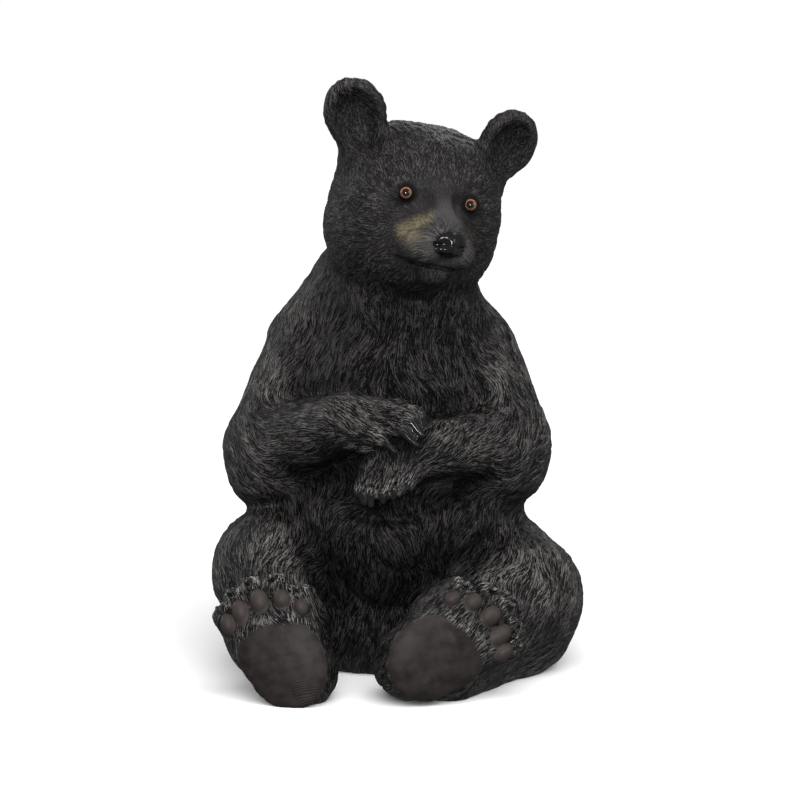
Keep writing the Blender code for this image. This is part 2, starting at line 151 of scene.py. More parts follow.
HEAD = ((2.4, -7.0, 78.66), axes_of(18, 4, 10.9))
EAR = ((13.6, -1.8, 12.9), axes_of(10, 0, 30))
EYE_ACROSS = 5.65       # half the distance between the eyes
EYE_UP = 2.5
FACE_AT_EYE = -12.0     # local y of the face's surface around an eye
MOUTH_UP = -8.1
MUZZLE_ROOT = np.array((0.0, -6.0, 0.0))
MUZZLE_AXES = axes_of(5, 0, 0)      # it turns a little more than the skull
MUZZLE = (MUZZLE_ROOT - MUZZLE_AXES @ MUZZLE_ROOT, MUZZLE_AXES)


def skull(q, m):
    m = m.copy()
    m[:, 0] = np.sqrt(m[:, 0] ** 2 + 1.0)
    d = egg(q, (0.7, 2.2, 2.3), (12.8, 13.0, 11.0))
    crown = egg(m, (4.6, 0.8, 4.4), (8.4, 10.6, 8.0))
    cheeks = egg(m, (7.5, -0.4, -4.5), (7.2, 9.6, 8.4))
    throat = egg(q, (0, -2.6, -8.4), (9.8, 9.4, 6.4))
    bridge = limb(q, (0, -5.2, 5.2), (0, -12.2, 0.4), 5.4, 3.2)
    brow = egg(m, (5.2, -7.7, 6.2), (3.3, 2.5, 1.9))
    cheekbones = egg(m, (8.0, -5.2, 0.2), (4.4, 4.6, 5.6))
    blends = ((crown, 4.0), (cheeks, 4.0), (throat, 4.0), (bridge, 3.0), (brow, 2.4), (cheekbones, 3.0))
    for form, k in blends:
        d = soft_min(d, form, k)
    return d


def muzzle(q, m):
    d = limb(q, (0, -8.0, -0.8), (0, -15.9, -2.3), 4.8, 3.0)
    lips = limb(m, (2.9, -7.0, -4.6), (2.8, -15.3, -5.4), 4.7, 3.0)
    chin = limb(q, (0, -9.0, -8.2), (0, -13.6, -8.5), 4.4, 2.9)
    nose = egg(q, (0, -17.5, -3.9), (2.35, 2.3, 2.1))
    wings = egg(m, (1.35, -17.9, -4.0), (1.15, 1.6, 1.5))
    for form, k in ((lips, 2.4), (chin, 1.6), (nose, 0.6), (wings, 0.4)):
        d = soft_min(d, form, k)
    return d


def face_lines(d, q, m):
    """Mouth, the line under the nose, and the nostrils with the slits beside them."""
    front = -q[:, 1]
    d = crease(d, q[:, 2] - MOUTH_UP, 0.34, 0.6 * ramp(front, 10.6, 12.4))
    under_nose = ramp(front, 16.0, 17.0) * ramp(-q[:, 2], 4.8, 5.6) * ramp(q[:, 2], -8.6, -7.6)
    d = crease(d, m[:, 0], 0.3, 0.15 * under_nose)
    nostril = np.sqrt(((m[:, 0] - 1.3) / 0.75) ** 2 + ((m[:, 2] + 3.9) / 0.75) ** 2)
    slit = np.sqrt(((m[:, 0] - 2.2) / 0.8) ** 2 + ((m[:, 2] + 4.3) / 0.32) ** 2)
    d = crease(d, nostril, 1.0, 0.85 * ramp(front, 17.0, 18.2))
    return crease(d, slit, 1.0, 0.5 * ramp(front, 16.6, 17.6))


def head(p):
    q = into(p, HEAD)
    m = q.copy()
    m[:, 0] = np.abs(m[:, 0])          # the head is the same on both sides
    e = into(m, EAR)
    snout = into(q, MUZZLE)
    snout_half = snout.copy()
    snout_half[:, 0] = np.abs(snout[:, 0])
    d = soft_min(skull(q, m), muzzle(snout, snout_half), 2.6)
    d = soft_max(d, -egg(m, (EYE_ACROSS - 2.2, FACE_AT_EYE - 2.2, EYE_UP - 0.3), (1.5, 2.2, 2.2)), 1.6)
    d = soft_min(d, egg(m, (EYE_ACROSS, FACE_AT_EYE + 2.5, EYE_UP), (2.4, 2.2, 2.1)), 0.9)
    ear_root = limb(e, (0.7, 2.2, -7.0), (0.2, 1.4, -1.0), 4.3, 2.7)
    ear = soft_min(egg(e, (0, 0.6, 0.4), (5.2, 2.2, 5.9)), ear_root, 2.2)
    d = soft_min(d, ear, 1.8)
    d = soft_max(d, -egg(e, (0.1, -2.2, -0.2), (4.0, 3.1, 5.2)), 1.0)
    return face_lines(d, snout, snout_half)


# Hind feet: soles to the front. Local z runs from heel to toes, -y is the sole, the inner side is at +x

RIGHT_FOOT = ((-16.6, -36.0, -0.4), axes_of(-8, -8, -21))
LEFT_FOOT = ((0.2, -36.5, 3.4), axes_of(8, -6, 54))
RIGHT_HEEL = (1.5, 5.4)
LEFT_HEEL = (0.8, 4.0)

# Across and up of each toe's pad, its half width and half height, then across and up of the toe's fringed
# end, from the outer toe to the inner one
TOES = (
    (-6.1, 16.6, 1.3, 1.9, -6.9, 19.4),
    (-3.5, 17.7, 1.55, 2.3, -4.3, 21.4),
    (0.0, 18.4, 1.6, 2.1, -0.9, 22.2),
    (3.6, 17.6, 1.5, 1.7, 3.0, 21.4),
    (6.2, 15.3, 1.2, 1.5, 6.5, 18.5),
)


def sole_form(q, heel, back):
    """The bare sole: wide under the toes and narrower at the heel. It lies at y = back."""
    middle = 7.6 + 0.5 * (heel[1] - RIGHT_HEEL[1])
    d = egg(q, (0.55 + 0.25 * heel[0], back, middle), (6.7, 1.7, 7.6))
    return soft_min(d, egg(q, (-1.3, back, middle + 2.4), (5.2, 1.7, 5.2)), 0.8)


def foot(p, frame, side, heel):
    q = into(p, frame)
    q[:, 0] *= side
    d = limb(q, (heel[0], 5.4, heel[1]), (0.4, 5.6, 11.5), 6.0, 7.0)
    d = soft_min(d, egg(q, (0.0, 4.6, 12.0), (8.1, 4.6, 6.4)), 2.5)
    d = soft_max(d, -(q[:, 1] + 0.4), 2.0)
    d = soft_min(d, limb(q, (-3.4, 4.6, 14.6), (3.6, 4.6, 14.4), 4.6, 4.4), 2.0)
    d = soft_min(d, sole_form(q, heel, 1.0), 0.8)
    for across, up, pad_wide, pad_high, tip_across, tip_up in TOES:
        toe = limb(q, (across * 0.85, 5.2, up - 3.4), (tip_across, 3.4, tip_up - 1.6), 3.0, 2.1)
        pad = egg(q, (across, 1.0, up), (pad_wide, 1.4, pad_high))
        claw = limb(q, (tip_across, 2.4, tip_up - 0.4), (tip_across, 0.7, tip_up + 0.3), 0.85, 0.45)
        d = soft_min(d, toe, 1.0)
        d = soft_min(d, pad, 0.4)
        d = soft_min(d, claw, 0.5)
    return d


# Arms, with the right paw laid over the left one. Shoulder, elbow and wrist of each

RIGHT_ARM = ((-16.0, 1.0, 52.8), (-22.2, -4.8, 37.4), (-9.0, -19.3, 44.1))
LEFT_ARM = ((13.0, 1.0, 52.6), (17.9, -4.8, 38.6), (6.8, -19.0, 39.6))
RIGHT_PALM = ((-3.4, -21.8, 43.9), 4.4)
LEFT_PALM = ((-2.4, -21.0, 36.9), 4.2)
RIGHT_BACK = (-0.24, -0.72, 0.65)       # way out of the back of each paw
LEFT_BACK = (-0.2, -0.95, 0.25)

# Knuckle, finger end and claw tip of each finger
RIGHT_FINGERS = (
    ((-0.1, -22.4, 46.5), (2.9, -24.3, 45.7), (4.3, -26.0, 43.9)),
    ((-1.8, -24.0, 46.2), (1.6, -25.9, 45.1), (3.5, -27.1, 42.8)),
    ((-4.0, -24.7, 44.8), (-0.1, -26.5, 43.8), (2.6, -27.6, 41.4)),
    ((-6.6, -24.1, 43.0), (-3.0, -26.1, 42.1), (-0.8, -27.1, 40.2)),
    ((-8.2, -22.4, 41.4), (-5.2, -23.6, 40.5), (-3.9, -24.0, 40.0)),
)
LEFT_FINGERS = (
    ((-5.0, -22.2, 35.9), (-6.2, -23.4, 33.3), (-5.9, -24.8, 31.4)),
    ((-3.5, -23.2, 35.6), (-4.7, -24.5, 33.1), (-4.7, -25.6, 31.1)),
    ((-1.8, -23.4, 35.2), (-2.7, -24.8, 33.0), (-2.8, -25.6, 31.7)),
    ((0.1, -23.3, 35.4), (-0.8, -24.6, 33.6), (-1.0, -25.3, 32.3)),
    ((2.1, -22.8, 36.0), (1.1, -24.1, 34.4), (0.8, -24.8, 33.1)),
)

# Grooves between the fingers, from the back of the paw to the claws
RIGHT_GROOVES = (
    ((-4.9, -26.0, 45.3), (0.3, -27.9, 42.9)),
    ((-3.6, -25.8, 46.8), (2.1, -27.4, 43.9)),
    ((-1.2, -26.1, 47.0), (3.0, -27.4, 44.6)),
)
LEFT_GROOVES = (
    ((-4.5, -24.8, 37.1), (-5.4, -25.0, 34.2)),
    ((-3.1, -25.2, 36.5), (-3.8, -25.7, 33.6)),
    ((-0.5, -25.3, 36.2), (-1.5, -26.0, 33.8)),
)
RIGHT_PAW = (RIGHT_ARM, RIGHT_PALM, RIGHT_FINGERS, RIGHT_BACK, RIGHT_GROOVES)
LEFT_PAW = (LEFT_ARM, LEFT_PALM, LEFT_FINGERS, LEFT_BACK, LEFT_GROOVES)


def upper_arm(p, arm):
    shoulder, elbow, _ = arm
    bulge = (elbow[0] * 0.98, -6.0, elbow[2] - 3.4)
    return soft_min(limb(p, shoulder, elbow, 7.5, 7.6), egg(p, bulge, (7.7, 8.0, 7.6)), 1.5)


def between(a, b, share):
    return np.array(a) + share * (np.array(b) - np.array(a))


def claw_of(p, finger, back):
    knuckle, end, tip = finger
    return limb(p, between(knuckle, end, 0.95) + 0.6 * np.array(back), tip, 0.95, 0.5)


def paw(p, arm, palm, fingers, back, grooves):
    centre, thick = palm
    d = limb(p, arm[2], centre, thick, thick * 0.95)
    digits = limb(p, fingers[0][0], fingers[0][1], 1.8, 1.35)
    for knuckle, end, _ in fingers[1:]:
        digits = soft_min(digits, limb(p, knuckle, end, 1.8, 1.35), 0.5)
    d = soft_min(d, digits, 1.6)
    for start, stop in grooves:
        d = soft_max(d, -limb(p, start, stop, 0.45, 0.85), 0.5)
    for finger in fingers:
        d = soft_min(d, claw_of(p, finger, back), 0.5)
    return d


# Body and legs

# Folds across the belly: middle of each arc, its radius, then the groove's half width and depth
FOLDS = (
    (0.4, 24.4, 5.4, 0.8, 0.28),
    (-2.0, 47.0, 19.4, 0.9, 0.5),
    (1.0, 27.0, 15.0, 1.1, 0.35),
)

# Hip, knee and ankle of each leg
RIGHT_LEG = ((-15.0, 3.0, 13.0), (-22.0, -12.5, 17.0), (-18.6, -27.0, 9.0))
LEFT_LEG = ((12.0, 2.0, 11.5), (19.6, -9.0, 12.2), (8.0, -27.0, 8.0))


def torso(p):
    d = egg(p, (-1.5, 3.0, 14.0), (20.5, 17.0, 17.5))
    seat = egg(p, (-2.0, -2.0, 7.0), (17.5, 15.5, 12.0))
    belly = egg(p, (-2.6, -4.4, 24.0), (19.0, 16.6, 16.0))
    left_flank = egg(p, (10.0, -2.0, 26.0), (11.0, 11.5, 8.0))
    chest = egg(p, (-1.8, -0.5, 44.0), (18.0, 15.5, 18.0))
    back = egg(p, (-1.5, 5.0, 35.0), (17.0, 14.8, 25.0))
    hump = egg(p, (-1.2, 4.2, 56.5), (15.5, 12.0, 11.0))
    neck = limb(p, (-1.0, 1.0, 58.0), (1.2, -3.5, 72.0), 13.5, 12.0)
    right_shoulder = limb(p, (-13.4, 1.5, 57.0), (-9.0, -0.5, 65.5), 7.3, 6.0)
    left_shoulder = limb(p, (9.4, 1.5, 56.5), (5.6, -1.0, 64.5), 6.8, 5.4)
    behind_paws = limb(p, (-6.0, -14.2, 42.4), (4.5, -14.6, 37.0), 5.6, 5.6)
    under_paws = egg(p, (0.2, -14.6, 34.2), (8.0, 5.0, 4.6))
    tail = limb(p, (-1.2, 15.5, 11.0), (-1.4, 20.2, 6.4), 3.4, 2.2)
    blends = (
        (seat, 6.0),
        (belly, 6.0),
        (left_flank, 4.0),
        (chest, 6.0),
        (back, 5.0),
        (hump, 5.0),
        (behind_paws, 3.0),
        (under_paws, 3.0),
        (neck, 4.0),
        (right_shoulder, 3.0),
        (left_shoulder, 3.0),
        (upper_arm(p, RIGHT_ARM), 3.5),
        (upper_arm(p, LEFT_ARM), 3.5),
        (tail, 2.5),
    )
    for form, k in blends:
        d = soft_min(d, form, k)
    return d


def belly_folds(d, p):
    for across, up, radius, width, depth in FOLDS:
        arc = np.sqrt((p[:, 0] - across) ** 2 + (p[:, 2] - up) ** 2) - radius
        lower = ramp(up - p[:, 2], radius * 0.1, radius * 0.6)
        middle = ramp(11.0 - np.abs(p[:, 0]), 0.0, 4.0)
        d = crease(d, arc, width, depth * lower * middle * ramp(-p[:, 1], 8.0, 13.0))
    return d


def legs(p):
    hip, knee, ankle = RIGHT_LEG
    right = soft_min(limb(p, hip, knee, 12.0, 8.6), limb(p, knee, ankle, 8.4, 6.2), 3.0)
    right = soft_min(right, egg(p, (-21.8, -10.5, 17.4), (9.7, 10.5, 10.6)), 2.0)
    hip, knee, ankle = LEFT_LEG
    left = soft_min(limb(p, hip, knee, 11.5, 10.9), limb(p, knee, ankle, 10.8, 7.2), 3.0)
    left = soft_min(left, egg(p, (17.5, -3.0, 16.6), (8.2, 10.0, 9.6)), 3.0)
    left = soft_min(left, egg(p, (18.5, -9.0, 6.0), (10.0, 10.0, 8.0)), 2.5)
    left = soft_min(left, limb(p, (18.5, -12.0, 4.5), (8.0, -28.0, 3.0), 6.0, 4.6), 2.5)
    return np.minimum(right, left)


def bear(p):
    """The whole casting, cut flat at the ground."""
    d = soft_min(belly_folds(torso(p), p), legs(p), 2.3)
    for _, elbow, wrist in (RIGHT_ARM, LEFT_ARM):
        d = soft_min(d, limb(p, elbow, wrist, 7.4, 4.5), 1.8)
    d = join(d, p, lambda n: paw(n, *LEFT_PAW), (0, -22, 36), 14, 1.2)
    d = join(d, p, lambda n: paw(n, *RIGHT_PAW), (-3, -22, 43), 14, 1.3)
    d = join(d, p, head, HEAD[0], 30, 2.5)
    d = join(d, p, lambda n: foot(n, RIGHT_FOOT, 1, RIGHT_HEEL), (-19, -30, 9), 20, 1.2)
    d = join(d, p, lambda n: foot(n, LEFT_FOOT, -1, LEFT_HEEL), (9, -30, 9), 20, 1.2)
    return np.maximum(d, -p[:, 2])


# From a field to a surface

def sample(field):
    """Field values on a grid: exact in the blocks that the surface may pass through, else only signed."""
    low = np.array(LOW)
    blocks = np.ceil((np.array(HIGH) - low) / (GRID * BLOCK)).astype(int)
    at = np.stack(np.meshgrid(*[np.arange(n) for n in blocks], indexing="ij"), -1).reshape(-1, 3)
    rough = field(low + (at + 0.5) * GRID * BLOCK)
    reach = GRID * BLOCK
    signs = np.sign(rough).reshape(blocks)
    for axis in range(3):
        signs = np.repeat(signs, BLOCK, axis)
    values = np.ones(blocks * BLOCK + 1)
    values[:-1, :-1, :-1] = signs
    exact = np.zeros(values.shape, bool)
    for i, j, k in at[np.abs(rough) < reach * 1.4] * BLOCK:
        exact[i:i + BLOCK + 1, j:j + BLOCK + 1, k:k + BLOCK + 1] = True
    values[exact] = field(low + np.argwhere(exact) * GRID)
    return values


def fill_pinches(values):
    """Fills the corners where two sheets of the surface would share one cell, to keep a clean skin."""
    nx, ny, nz = (n - 1 for n in values.shape)
    corners = [(i, j, k) for i in (0, 1) for j in (0, 1) for k in (0, 1)]
    while True:
        inside = values < 0
        part = {c: inside[c[0]:nx + c[0], c[1]:ny + c[1], c[2]:nz + c[2]] for c in corners}
        pinched = np.zeros((nx, ny, nz), bool)
        for axis in range(3):
            u = (axis + 1) % 3
            v = (axis + 2) % 3
            for side in (0, 1):
                face = [part[c] for c in corners if c[axis] == side and c[u] == c[v]]
                other = [part[c] for c in corners if c[axis] == side and c[u] != c[v]]
                pinched |= (face[0] == face[1]) & (other[0] == other[1]) & (face[0] != other[0])
        count = sum(part[c].astype(int) for c in corners)
        for c in corners[:4]:
            far = part[tuple(1 - n for n in c)]
            pinched |= (part[c] == far) & (count == np.where(far, 2, 6))
        outside = False
        for c in corners:
            spot = values[c[0]:nx + c[0], c[1]:ny + c[1], c[2]:nz + c[2]]
            fill = pinched & (spot >= 0)
            outside = outside or fill.any()
            spot[fill] = -0.1 * GRID
        if not outside:
            return


def cell_points(values, inside):
    """One point for each cell that the surface crosses, at the mean of the crossings on its edges."""
    corners = [(i, j, k) for i in (0, 1) for j in (0, 1) for k in (0, 1)]
    nx, ny, nz = (n - 1 for n in values.shape)
    count = sum(inside[i:nx + i, j:ny + j, k:nz + k].astype(int) for i, j, k in corners)
    crossed = (count > 0) & (count < 8)
    index = np.full(crossed.shape, -1)
    cells = np.argwhere(crossed)
    index[crossed] = np.arange(len(cells))
    total = np.zeros((len(cells), 3))
    hits = np.zeros(len(cells))
    for a in corners:
        for axis in range(3):
            if a[axis]:
                continue
            b = tuple(c + (n == axis) for n, c in enumerate(a))
            va = values[tuple((cells + a).T)]
            vb = values[tuple((cells + b).T)]
            cross = (va < 0) != (vb < 0)
            point = np.tile(np.array(a, float), (cross.sum(), 1))
            point[:, axis] = va[cross] / (va[cross] - vb[cross])
            total[cross] += point
            hits[cross] += 1
    return (cells + total / hits[:, None]) * GRID + np.array(LOW), index


def grid_quads(inside, index):
    """One quad around each grid edge that the surface crosses, wound to face out."""
    quads = []
    for axis in range(3):
        u = (axis + 1) % 3
        v = (axis + 2) % 3
        start = np.take(inside, range(inside.shape[axis] - 1), axis)
        end = np.take(inside, range(1, inside.shape[axis]), axis)
        edges = np.argwhere(start != end)
        leaves = start[tuple(edges.T)]
        ring = []
        for du, dv in ((1, 1), (0, 1), (0, 0), (1, 0)):
            cell = edges.copy()
            cell[:, u] -= du
            cell[:, v] -= dv
            ring.append(index[tuple(cell.T)])
        quad = np.stack(ring, 1)
        quad[~leaves] = quad[~leaves][:, ::-1]
        quads.append(quad)
    return np.concatenate(quads)


def slope_of(field, p, h):
    """Gradient of the field, from samples at the corners of a small tetrahedron."""
    g = np.zeros_like(p)
    for corner in ((1, 1, 1), (1, -1, -1), (-1, 1, -1), (-1, -1, 1)):
        corner = np.array(corner, float)
        g += field(p + corner * h)[:, None] * corner
    return g / (4 * h)


def surface_of(field):
    values = sample(field)
    fill_pinches(values)
    inside = values < 0
    points, index = cell_points(values, inside)
    quads = grid_quads(inside, index)
    for _ in range(2):
        g = slope_of(field, points, 0.15)
        g /= np.maximum(np.linalg.norm(g, axis=1), 0.3)[:, None]
        step = np.clip(field(points), -GRID / 2, GRID / 2)
        points = points - 0.6 * step[:, None] * g
    return points, quads


# Finer skin

def finer(points, quads):
    """Splits each quad into four, with new points in the middle of its sides and of itself."""
    count = len(points)
    sides = np.stack([quads, np.roll(quads, -1, 1)], 2).reshape(-1, 2)
    sides.sort(axis=1)
    unique, back = np.unique(sides[:, 0] * count + sides[:, 1], return_inverse=True)
    middles = points[np.stack([unique // count, unique % count], 1)].mean(1)
    centres = points[quads].mean(1)
    side = count + back.reshape(-1, 4)
    centre = count + len(unique) + np.arange(len(quads))
    parts = [np.stack([quads[:, k], side[:, k], centre, side[:, k - 1]], 1) for k in range(4)]
    return np.concatenate([points, middles, centres]), np.concatenate(parts)


def unit(v):
    return v / np.maximum(np.linalg.norm(v, axis=1), 1e-6)[:, None]


def normals_of(points, quads):
    across = points[quads[:, 2]] - points[quads[:, 0]]
    along = points[quads[:, 3]] - points[quads[:, 1]]
    face = np.cross(across, along)
    total = np.zeros((len(points), 3))
    for k in range(4):
        for axis in range(3):
            total[:, axis] += np.bincount(quads[:, k], face[:, axis], len(points))
    return unit(total)


def settle(points, rounds):
    """Moves points along the slope of the field until they lie on the form."""
    for _ in range(rounds):
        g = slope_of(bear, points, 0.12)
        g /= np.maximum(np.linalg.norm(g, axis=1), 0.3)[:, None]
        points = points - 0.8 * np.clip(bear(points), -0.3, 0.3)[:, None] * g
    points[:, 2] = np.maximum(points[:, 2], 0.0)
    return points


# Smooth noise, and strokes made by averaging it along the lie of the fur

LATTICE = 32
SEED = 7
TABLE = np.random.default_rng(SEED).normal(size=(LATTICE,) * 3).astype(np.float32)
STROKE_SAMPLES = 11


def noise(p):
    base = np.floor(p).astype(np.int32)
    t = (p - base).astype(np.float32)
    t = t * t * (3 - 2 * t)
    low = base % LATTICE
    high = (low + 1) % LATTICE
    total = 0
    for i in (0, 1):
        x = (high if i else low)[:, 0]
        wx = t[:, 0] if i else 1 - t[:, 0]
        for j in (0, 1):
            y = (high if j else low)[:, 1]
            wy = t[:, 1] if j else 1 - t[:, 1]
            for k in (0, 1):
                z = (high if k else low)[:, 2]
                wz = t[:, 2] if k else 1 - t[:, 2]
                total = total + TABLE[x, y, z] * (wx * wy * wz)
    return total


def strokes(p, lie, pitch, length, shift):
    """Streaks of about the given pitch and length, with a spread of 1."""
    total = 0
    for s in np.linspace(-0.5, 0.5, STROKE_SAMPLES) * length:
        total = total + noise((p + s * lie) / pitch + shift)
    return total / total.std()


# Lie of the fur

def mirrored(q):
    """The same points, with the far half folded onto the near one."""
    m = q.copy()
    m[:, 0] = np.abs(m[:, 0])
    return m


def lie_of_fur(p, n):
    """Direction of the fur on the skin: each form has its own, and near forms share it by closeness."""
    q = into(p, HEAD)
    e = into(mirrored(q), EAR)
    total = np.zeros_like(p)

    def add_current(distance, direction, strength=1.0):
        nonlocal total
        weight = strength * np.exp(-np.clip(distance, -1.0, 30.0) / 1.1)
        total += weight[:, None] * unit(direction)

    def towards(a, b):
        return np.tile(np.array(b, p.dtype) - np.array(a, p.dtype), (len(p), 1))

    from_nose = (q - np.array((0.0, -20.0, -3.5), p.dtype)) * np.array((1.0, 0.45, 1.0), p.dtype)
    add_current(head(p), from_nose @ HEAD[1].T.astype(p.dtype))
    out = e - np.array((0.0, 0.0, -6.0), p.dtype)
    out = out @ EAR[1].T.astype(p.dtype)
    out[:, 0] *= np.sign(q[:, 0])
    add_current(egg(e, (0, 0.6, 0.4), (5.2, 2.2, 5.9)), out @ HEAD[1].T.astype(p.dtype))
    fan = np.stack([(p[:, 0] - 1.0) * 0.05, np.zeros(len(p)), -np.ones(len(p))], 1)
    add_current(egg(p, (-1.8, 0.0, 44.0), (18, 16, 24)), fan)
    add_current(limb(p, (-1.0, 1.0, 58.0), (1.2, -3.5, 72.0), 13.5, 12.0), fan)
    down = np.stack([p[:, 0] * 0.02, np.zeros(len(p)), -np.ones(len(p))], 1)
    add_current(egg(p, (-2.0, 0.0, 18.0), (20, 18, 20)), down)
    for shoulder, elbow, wrist in (RIGHT_ARM, LEFT_ARM):
        add_current(limb(p, shoulder, elbow, 7.5, 7.6), towards(shoulder, elbow))
        droop = (wrist[0], wrist[1], wrist[2] - 5.0)
        add_current(limb(p, elbow, wrist, 7.4, 4.5), towards(elbow, droop))
    for arm, (palm, thick), fingers, _, _ in (RIGHT_PAW, LEFT_PAW):
        add_current(limb(p, arm[2], palm, thick, thick) - 0.5, towards(arm[2], fingers[2][1]), 1.5)
        add_current(limb(p, palm, fingers[2][1], 4.0, 3.0), towards(fingers[2][0], fingers[2][1]), 1.5)
    for hip, knee, ankle in (RIGHT_LEG, LEFT_LEG):
        sag = (knee[0] * 1.3, knee[1], knee[2] - 14.0)
        add_current(limb(p, hip, knee, 12.0, 9.5), towards(hip, sag))
        add_current(limb(p, knee, ankle, 9.5, 6.8), towards(knee, (ankle[0], ankle[1], ankle[2] - 6.0)))
    for (origin, axes), side in ((RIGHT_FOOT, 1), (LEFT_FOOT, -1)):
        toes = np.array(origin) + 22 * axes[:, 2]
        add_current(limb(p, origin, tuple(toes), 7.0, 8.0), towards(origin, tuple(toes)))
    turn = 0.45 * noise(p / 5.0) + 0.2 * noise(p / 2.2 + 11.0)
    lie = unit(total - (total * n).sum(1)[:, None] * n)
    side = np.cross(n, lie)
    return unit(lie * np.cos(turn)[:, None] + side * np.sin(turn)[:, None])


# What covers each place, and where shade or light is painted

def within(distance, soft):
    return ramp(-distance, -soft, soft)


def head_zone(p):
    """1 on the head and ears, fading out at the neck."""
    return within(egg(p, (2.4, -6.0, 82.0), (25.0, 18.0, 19.0)), 2.0)


def claw_cover(p, finger, back):
    """1 on a claw, from where it leaves the fur to its tip."""
    knuckle, end, tip = finger
    root = between(knuckle, end, 0.95) + 0.6 * np.array(back)
    way = np.array(tip) - root
    along = (p - root) @ way / (way @ way)
    return within(claw_of(p, finger, back) - 0.14, 0.08) * ramp(along, 0.15, 0.32)


def foot_covers(p):
    """Masks of soles, toe pads, toe claws and pale fringes, then the radius of a sole's wrinkle there."""
    pad, toe_pad, gloss, frost, arc = np.zeros((5, len(p)))
    for foot_frame, side, heel in ((RIGHT_FOOT, 1, RIGHT_HEEL), (LEFT_FOOT, -1, LEFT_HEEL)):
        f = into(p, foot_frame)
        f[:, 0] *= side
        form = sole_form(f, heel, 0.4)
        sole = within(form, 0.15)
        pad = np.maximum(pad, sole)
        arc = np.where(sole > 0, np.sqrt((f[:, 0] - 1.4) ** 2 + (f[:, 2] + 7.0) ** 2), arc)
        edge = within(np.abs(form - 0.35) - 0.3, 0.3)
        frost = np.maximum(frost, 0.25 * edge * ramp(f[:, 2], 4.0, 12.0))
        for across, up, pad_wide, pad_high, tip_across, tip_up in TOES:
            cushion = egg(f, (across, 0.6, up), (pad_wide, 1.6, pad_high))
            claw = limb(f, (tip_across, 1.8, tip_up - 0.2), (tip_across, 0.7, tip_up + 0.3), 0.95, 0.65)
            fringe = egg(f, (tip_across, 2.6, tip_up + 0.1), (1.9, 2.8, 1.2))
            toe_pad = np.maximum(toe_pad, within(cushion, 0.12))
            gloss = np.maximum(gloss, 0.55 * within(claw, 0.1))
            frost = np.maximum(frost, 0.85 * within(fringe, 0.6))
    return pad, toe_pad, gloss, frost, arc


def paw_covers(p):
    """Masks of the finger claws and of the pale touches around them."""
    gloss, frost = np.zeros((2, len(p)))
    for (_, _, fingers, back, _), paleness in ((RIGHT_PAW, 0.15), (LEFT_PAW, 0.3)):
        for finger in fingers:
            around = within(claw_of(p, finger, back) - 0.7, 0.5)
            gloss = np.maximum(gloss, claw_cover(p, finger, back))
            frost = np.maximum(frost, paleness * around)
    return gloss, frost


def covers(p):
    """What each point is covered with, and where shade or light is painted, as masks from 0 to 1, and how
    bare of fur it is.
    """
    pad, toe_pad, toe_claws, toe_frost, arc = foot_covers(p)
    claws, claw_frost = paw_covers(p)
    q = into(p, HEAD)
    m = mirrored(q)
    e = into(m, EAR)
    snout = into(q, MUZZLE)
    snout_half = mirrored(snout)
    nose = egg(snout, (0, -18.0, -3.9), (2.6, 2.5, 2.35))
    nose = np.minimum(nose, egg(snout_half, (1.6, -18.2, -4.1), (1.3, 2.2, 1.7)))
    gloss = np.max([within(nose, 0.12), toe_claws, claws], axis=0)
    stain = limb(snout_half, (5.9, -12.6, -3.3), (3.2, -14.9, -0.6), 1.2, 0.9)
    stain = np.minimum(stain, egg(snout_half, (5.3, -15.2, -3.9), (1.0, 1.5, 1.0)))
    tan = within(stain - 0.2, 1.2) * np.where(snout[:, 0] > 0, 0.3, 1.0)
    lid = within(egg(m, (EYE_ACROSS, FACE_AT_EYE, EYE_UP + 0.15), (1.75, 2.4, 1.75)), 0.35)
    bridge = within(egg(snout, (0, -12.5, -0.6), (3.2, 6.0, 3.4)), 1.2)
    # The lips get the pale grey of the bridge as painted light, where the lip under the nose catches the
    # light.
    lips = within(egg(snout, (0, -14.5, -5.0), (6.0, 5.5, 3.6)), 1.5)
    lips = lips * ramp(snout[:, 2], MOUTH_UP - 0.6, MOUTH_UP + 0.2)
    rim = within(egg(e, (0, 0.2, 0.6), (6.2, 3.0, 6.6)), 0.6)
    rim = rim * (1 - within(egg(e, (0.1, -0.8, 0.0), (4.3, 3.2, 5.2)), 0.5))
    rim = rim * ramp(-e[:, 1], -0.6, 0.4)
    smooth = within(egg(q, (0, -13.0, -2.5), (8.0, 6.5, 9.0)), 4.0)
    # Painted shade on the front of the belly and chest, under the arms.
    trunk = egg(p, (-2.6, -4.4, 24.0), (19.0, 16.6, 16.0))
    trunk = np.minimum(trunk, egg(p, (-1.8, -0.5, 47.0), (18.0, 15.5, 19.0)))
    trunk_shade = within(trunk - 2.0, 2.2) * ramp(-p[:, 1], 3.0, 10.0)
    on_head = head_zone(p)
    bare = np.max([gloss, pad, toe_pad, lid, rim, 0.85 * bridge, 0.75 * lips, 0.75 * smooth], axis=0)
    shades = {
        "gloss": gloss,
        "pad": np.maximum(pad, toe_pad) * (1 - gloss),
        "tan": tan,
        "lid": lid,
        # Pale grey paint on the bridge; on the lips the same grey is painted light.
        "bridge": np.maximum(bridge, 0.8 * lips),
        "frost": np.maximum(toe_frost, claw_frost),
        "arc": arc,
        "trunk_shade": trunk_shade,
        # Lighter dry-brushed fur, kept off the head and off the painted shade on the belly and chest.
        "dry_brush_and_shade": np.clip(1.0 - 0.8 * trunk_shade - 0.75 * on_head, 0, 1),
        "calm": 0.35 * on_head + 0.45 * smooth,
        "toe_pad": toe_pad,
    }
    return shades, bare


